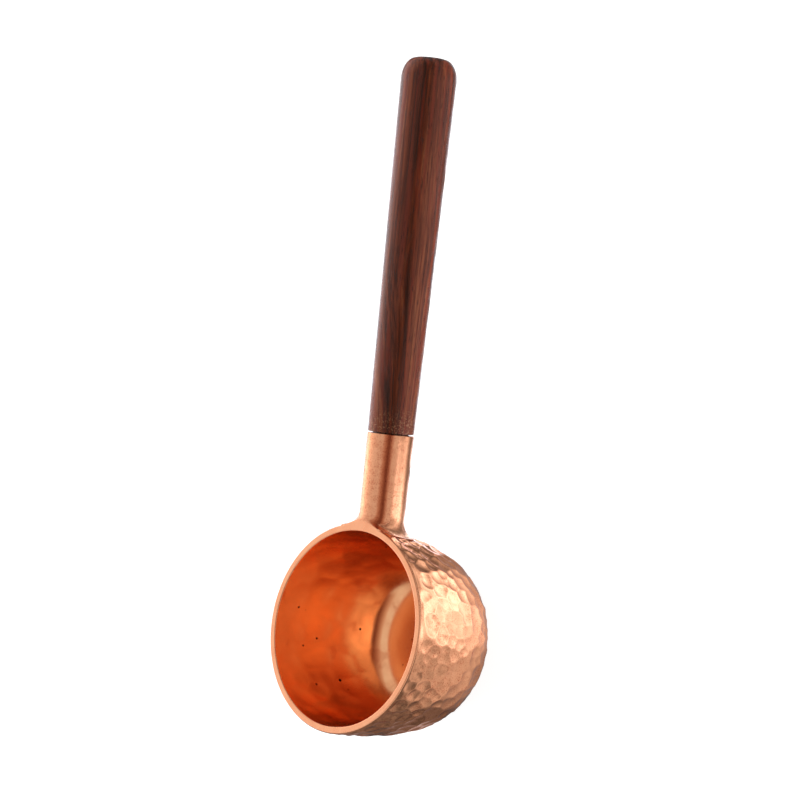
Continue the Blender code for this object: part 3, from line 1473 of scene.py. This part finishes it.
@dataclass
class PaintedReflectionSheet:
    """A glowing sheet round the foot of the scoop: a painted reflection that only shiny surfaces show.

    Attributes:
        reach: Distance from its middle to its sides.
        height: Height over the scoop's foot.
        cool: Tint of the brightest part.
        cool_part: Levels between which the tint sets in.
        across_run: The stretch along X that the levels of across cover.
        across: Levels of the front part from left to right.
        forward_run: The stretch along Y that the levels of forward cover.
        forward: Levels of the front part from the bowl outwards.
        clouds_scale: How fine the clouds of the front part are.
        clouds: Levels of the clouds.
        far_right: Where the far front part is dimmed along X.
        far_front: Where it is dimmed along Y, and how much.
        back: Where the back part starts.
        back_side: Levels of the back part from left to right.
        ring_inner: Where the pale ring round the foot starts.
        ring_outer: Where the ring ends.
        ring_side: Levels of the ring from front to back.
        handle_side: Where the part under the neck starts.
        handle_back: Levels of that part from front to back.
        shadow_streaks_scale: How fine the painted streaks of shadow and light under the neck are.
        shadow_streaks: Levels of the painted streaks.
        foot_shade: Painted shadow round the foot.
        dark_scale: How fine the dark parts' pattern is.
        dark: Levels of the dark parts.
        end_shade: Painted shade beyond the handle's end.
    """

    reach: float = 0.40
    height: float = 0.0002
    cool: Colour = (0.96, 1.10, 1.25, 1.0)
    cool_part: Fade = Fade(0.8, 2.3)
    across_run: Fade = Fade(-0.06, 0.06)
    across: Levels = (
        (0.06, 0.15),
        (0.125, 0.24),
        (0.19, 0.45),
        (0.28, 0.66),
        (0.375, 0.83),
        (0.50, 1.3),
        (0.625, 2.25),
        (0.69, 2.5),
        (0.75, 2.15),
        (0.81, 1.6),
        (0.875, 1.15),
        (0.94, 0.95),
    )
    forward_run: Fade = Fade(0.0, -0.045)
    forward: Levels = (
        (0.0, 0.1),
        (0.22, 0.18),
        (0.33, 0.34),
        (0.44, 0.60),
        (0.56, 0.99),
        (0.67, 1.12),
        (0.78, 1.05),
        (1.0, 0.96),
    )
    clouds_scale: float = 50.0
    clouds: Fade = Fade(0.36, 0.64, 0.72, 1.28)
    far_right: Fade = Fade(0.008, 0.02)
    far_front: Fade = Fade(-0.034, -0.046, 0.0, 0.2)
    back: Fade = Fade(0.012, 0.024)
    back_side: Fade = Fade(-0.02, 0.01, 0.35, 1.0)
    ring_inner: Fade = Fade(0.0205, 0.0225)
    ring_outer: Fade = Fade(0.030, 0.0265)
    ring_side: Fade = Fade(-0.011, -0.001, 0.0, 0.75)
    handle_side: Fade = Fade(0.018, 0.024)
    handle_back: Fade = Fade(-0.009, 0.006, 0.0, 2.2)
    shadow_streaks_scale: float = 190.0
    shadow_streaks: Fade = Fade(0.44, 0.56, 0.05, 1.2)
    foot_shade: Fade = Fade(0.0172, 0.0205, 0.35, 1.0)
    dark_scale: float = 80.0
    dark: Fade = Fade(0.38, 0.62, 0.12, 0.32)
    end_shade: Fade = Fade(0.145, 0.165, 1.0, 0.15)

    def build(self) -> bpy.types.Object:
        """Lays the sheet just over the floor.

        Returns:
            The sheet.
        """
        sheet = level_sheet(self.reach, self.height)
        return reflected_only(finished("painted_reflection_sheet", sheet, [self.material()]))

    def material(self) -> bpy.types.Material:
        """The sheet's painted reflection and painted shadows: pale in front, brightest front right, dark at
        both sides of the bowl.

        Returns:
            The new material.
        """
        material, nodes = blank_material("painted_reflection_sheet")
        place = nodes.place()
        x, y, _ = nodes.parts(place)
        away = nodes.math("SQRT", nodes.plus(nodes.times(x, x), nodes.times(y, y)))
        front = nodes.levels(nodes.fade(x, self.across_run), self.across)
        front = nodes.times(front, nodes.levels(nodes.fade(y, self.forward_run), self.forward))
        front = nodes.times(front, nodes.fade(nodes.noise(place, self.clouds_scale), self.clouds))
        far = nodes.times(nodes.fade(x, self.far_right), nodes.fade(y, self.far_front))
        front = nodes.times(front, nodes.minus(1.0, far))
        back = nodes.times(nodes.fade(y, self.back), nodes.fade(x, self.back_side))
        ring = nodes.times(nodes.fade(away, self.ring_inner), nodes.fade(away, self.ring_outer))
        ring = nodes.times(ring, nodes.fade(y, self.ring_side))
        under_neck = nodes.times(nodes.fade(x, self.handle_side), nodes.fade(y, self.handle_back))
        # Painted streaks of shadow and light where the neck and handle stand over the floor.
        shadow_streaks = nodes.fade(nodes.noise(place, self.shadow_streaks_scale), self.shadow_streaks)
        under_neck = nodes.times(under_neck, shadow_streaks)
        dark = nodes.fade(nodes.noise(place, self.dark_scale), self.dark)
        level = nodes.larger(nodes.larger(front, back), nodes.larger(ring, under_neck))
        # Painted shadow round the foot, and painted shade beyond the handle's end.
        level = nodes.times(nodes.larger(level, dark), nodes.fade(away, self.foot_shade))
        level = nodes.times(level, nodes.fade(x, self.end_shade))
        colour = nodes.mix(nodes.fade(level, self.cool_part), WHITE, self.cool)
        # The sheet glows: its light is a painted reflection, not a lamp.
        glow = nodes.add("ShaderNodeEmission", {"Color": colour, "Strength": level})
        nodes.add("ShaderNodeOutputMaterial", {"Surface": glow.outputs["Emission"]})
        return material


@dataclass
class DarkReflectionStrip:
    """A long glowing strip with soft edges that arches over the scoop: a painted dark reflection that only
    shiny surfaces show.
    """

    aim: Vector
    middle: Vector
    radius: float = 2.1
    above: float = math.radians(30)
    below: float = math.radians(18)
    near_end: float = math.radians(-45)
    far_end: float = math.radians(110)
    across_points: int = 12
    steps: int = 40
    core: float = 0.12
    core_reach: float = 0.02
    edge: float = 0.68
    green_power: float = 1.6
    blue_power: float = 1.9

    def build(self) -> bpy.types.Object:
        """Bends the strip round the scoop, its middle line through the camera's direction.

        Returns:
            The strip.
        """
        side = Vector((1.0, 0.0, 0.0))
        side = (side - self.middle * side.dot(self.middle)).normalized()
        up = side.cross(self.middle)
        up = up if up.z > 0 else -up
        bm = bmesh.new()
        line = arc((0.0, 0.0), (self.radius, self.radius), -self.below, self.above, self.across_points)
        start = Matrix.Rotation(self.near_end, 4, "Z")
        verts = [bm.verts.new(start @ Vector((out, 0.0, height))) for out, height in line]
        edges = [bm.edges.new(pair) for pair in zip(verts, verts[1:])]
        turn = self.far_end - self.near_end
        bmesh.ops.spin(bm, geom=verts + edges, axis=(0.0, 0.0, 1.0), angle=turn, steps=self.steps)
        basis = Matrix((self.middle, side, up)).transposed().to_4x4()
        bm.transform(Matrix.Translation(self.aim) @ basis)
        return reflected_only(finished("painted_dark_reflection", bm, [self.material(up)]))

    def material(self, up: Vector) -> bpy.types.Material:
        """The strip's painted reflection, darkest along its middle line and tinted warmer where it is darker.

        Args:
            up: Direction across the strip.

        Returns:
            The new material.
        """
        material, nodes = blank_material("painted_dark_reflection")
        across = nodes.add("ShaderNodeVectorMath", {0: nodes.place(), 1: up}, operation="DOT_PRODUCT")
        off = nodes.minus(across.outputs["Value"], self.aim.dot(up))
        top = self.radius * math.sin(self.above)
        bottom = -self.radius * math.sin(self.below)
        upper = nodes.fade(off, Fade(self.core_reach, top, self.core, self.edge))
        lower = nodes.fade(off, Fade(-self.core_reach, bottom, self.core, self.edge))
        level = nodes.larger(upper, lower)
        # Painted warm tint: green and blue fall faster than red where the strip is darker.
        green = nodes.math("POWER", level, self.green_power)
        blue = nodes.math("POWER", level, self.blue_power)
        shade = nodes.add("ShaderNodeCombineColor", {"Red": level, "Green": green, "Blue": blue})
        glow = nodes.add("ShaderNodeEmission", {"Color": shade.outputs["Color"], "Strength": 1.0})
        nodes.add("ShaderNodeOutputMaterial", {"Surface": glow.outputs["Emission"]})
        return material


@dataclass
class Studio:
    """The floor, the pale room, the lamp, the glowing cards of painted reflection and the camera."""

    aim: Vector = field(default_factory=lambda: Vector((0.0562, -0.0043, 0.0305)))
    azimuth: float = math.radians(-2.848)
    elevation: float = math.radians(44.725)
    roll: float = math.radians(-78.273)
    distance: float = 1.0
    focal_pixels: float = 4172.4
    near_limit: float = 0.01
    lamp: SoftLamp = SoftLamp(
        name="back_softbox",
        azimuth=180,
        elevation=35,
        distance=0.9,
        width=2.0,
        height=0.6,
        brightness=5.4,
    )
    room_light: float = 0.28
    room_shine: Levels = (
        (0.10, 0.76),
        (0.50, 0.90),
        (0.68, 1.02),
        (0.77, 1.20),
        (0.85, 1.40),
        (0.914, 1.75),
        (0.966, 2.2),
        (1.0, 2.5),
    )
    room_end: Fade = Fade(0.80, 0.93, 1.0, 0.05)
    floor_reach: float = 3.0
    floor_gap: float = 0.00005
    floor_colour: Colour = (0.85, 0.85, 0.85, 1.0)
    # Glow of the floor to diffuse rays: painted light on the scoop from below.
    floor_light: float = 2.2
    floor_white: float = 0.93
    shadow_colour: Colour = (0.3, 0.3, 0.3, 1.0)

    def towards(self, azimuth: float, elevation: float) -> Vector:
        """Unit direction from the object, where azimuth 0 is -Y and positive turns to +X, in radians."""
        flat = math.cos(elevation)
        return Vector((math.sin(azimuth) * flat, -math.cos(azimuth) * flat, math.sin(elevation)))

    def build_camera(self) -> None:
        """Puts the camera where the photograph was taken from."""
        data = bpy.data.cameras.new("camera")
        data.sensor_width = SENSOR_WIDTH
        data.lens = self.focal_pixels / IMAGE_WIDTH * SENSOR_WIDTH
        data.clip_start = self.near_limit
        camera = bpy.data.objects.new("camera", data)
        turn = Matrix.Rotation(self.azimuth, 4, "Z") @ Matrix.Rotation(math.pi / 2 - self.elevation, 4, "X")
        place = self.aim + self.towards(self.azimuth, self.elevation) * self.distance
        camera.matrix_world = Matrix.Translation(place) @ turn @ Matrix.Rotation(self.roll, 4, "Z")
        bpy.context.scene.collection.objects.link(camera)
        bpy.context.scene.camera = camera

    def build_lamp(self) -> None:
        """Hangs the soft lamp behind the scoop, where shiny surfaces don't show it."""
        lamp = self.lamp
        data = bpy.data.lights.new(lamp.name, "AREA")
        data.shape = "RECTANGLE"
        data.size = lamp.width
        data.size_y = lamp.height
        data.energy = lamp.brightness * math.pi * lamp.width * lamp.height
        obj = bpy.data.objects.new(lamp.name, data)
        obj.visible_glossy = False
        away = self.towards(math.radians(lamp.azimuth), math.radians(lamp.elevation))
        turn = away.to_track_quat("Z", "Y").to_matrix().to_4x4()
        obj.matrix_world = Matrix.Translation(self.aim + away * lamp.distance) @ turn
        bpy.context.scene.collection.objects.link(obj)

    def build_room(self) -> None:
        """Lights the scoop from all round, with white behind it and a soft gradient for shiny surfaces."""
        world = bpy.data.worlds.new("pale_room")
        bpy.context.scene.world = world
        world.use_nodes = True
        world.node_tree.nodes.clear()
        nodes = Nodes(world.node_tree)
        path = nodes.add("ShaderNodeLightPath")
        seen = nodes.larger(path.outputs["Is Camera Ray"], path.outputs["Is Transmission Ray"])
        level = nodes.fade(seen, Fade(0.0, 1.0, self.room_light, 1.0))
        x, y, _ = nodes.parts(nodes.add("ShaderNodeTexCoord").outputs["Generated"])
        # Shiny surfaces see a painted reflection of the room: brighter towards +Y and darker towards +X.
        shine = nodes.times(nodes.levels(y, self.room_shine), nodes.fade(x, self.room_end))
        shine = nodes.times(shine, path.outputs["Is Glossy Ray"])
        plain = nodes.times(level, nodes.minus(1.0, path.outputs["Is Glossy Ray"]))
        strength = nodes.plus(plain, shine)
        back = nodes.add("ShaderNodeBackground", {"Color": WHITE, "Strength": strength})
        nodes.add("ShaderNodeOutputWorld", {"Surface": back.outputs["Background"]})

    def build_floor(self) -> bpy.types.Object:
        """Lays the white floor, which keeps a soft shadow and glows to all other rays, painted light that
        brightens the scoop from below.

        Returns:
            The floor.
        """
        material, nodes = blank_material("white_floor")
        path = nodes.add("ShaderNodeLightPath")
        seen = nodes.larger(path.outputs["Is Camera Ray"], path.outputs["Is Transmission Ray"])
        seen = nodes.larger(seen, path.outputs["Is Glossy Ray"])
        pale = nodes.add("ShaderNodeBsdfDiffuse", {"Color": self.floor_colour})
        # Painted light: to diffuse rays the floor glows and brightens the scoop from below.
        floor_glow = nodes.add("ShaderNodeEmission", {"Color": WHITE, "Strength": self.floor_light})
        plain = nodes.add("ShaderNodeAddShader", {0: pale.outputs[0], 1: floor_glow.outputs[0]})
        shadow = nodes.add("ShaderNodeBsdfDiffuse", {"Color": self.shadow_colour})
        glow = nodes.add("ShaderNodeEmission", {"Color": WHITE, "Strength": self.floor_white})
        white = nodes.add("ShaderNodeAddShader", {0: shadow.outputs[0], 1: glow.outputs[0]})
        surface = nodes.add("ShaderNodeMixShader", {0: seen, 1: plain.outputs[0], 2: white.outputs[0]})
        nodes.add("ShaderNodeOutputMaterial", {"Surface": surface.outputs[0]})
        return finished("white_floor", level_sheet(self.floor_reach, -self.floor_gap), [material])

    def build(self) -> None:
        """Builds the whole studio."""
        bpy.context.scene.view_settings.view_transform = "Standard"
        self.build_camera()
        self.build_lamp()
        self.build_room()
        self.build_floor()
        DarkReflectionStrip(self.aim, self.towards(self.azimuth, self.elevation)).build()
        PaintedReflectionSheet().build()


def settle(piece: bpy.types.Object, slot: str, *nodes: str) -> None:
    """Hangs a finished piece on the scoop in place of its solids.

    Args:
        piece: The finished piece.
        slot: The record's material slot; not used.
        *nodes: The solids that it stands for.
    """
    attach(piece, BODY)
    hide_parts(*nodes)
    LOG.info("%s: %d faces", piece.name, len(piece.data.polygons))


def main() -> None:
    """Builds the scoop and its studio."""
    logging.basicConfig(level=logging.INFO, format="%(name)s: %(message)s")
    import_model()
    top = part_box("bowl")[1]
    bowl = BowlShape(belly_radius=top.x, height=top.z)
    neck = NeckShape()
    axis = HandleAxis(bowl, neck)
    finishes = Finishes()
    settle(HammeredBowl(bowl, neck).build(finishes), "bowl_copper", "bowl")
    copper_neck = CopperNeck(axis)
    settle(copper_neck.build(finishes), "socket_copper", "socket")
    settle(copper_neck.build_seam(finishes), "braze_alloy", "neck_braze")
    settle(TurnedHandle(axis).build(finishes), "handle_wood", "handle")
    Studio().build()


if __name__ == "__main__":
    main()
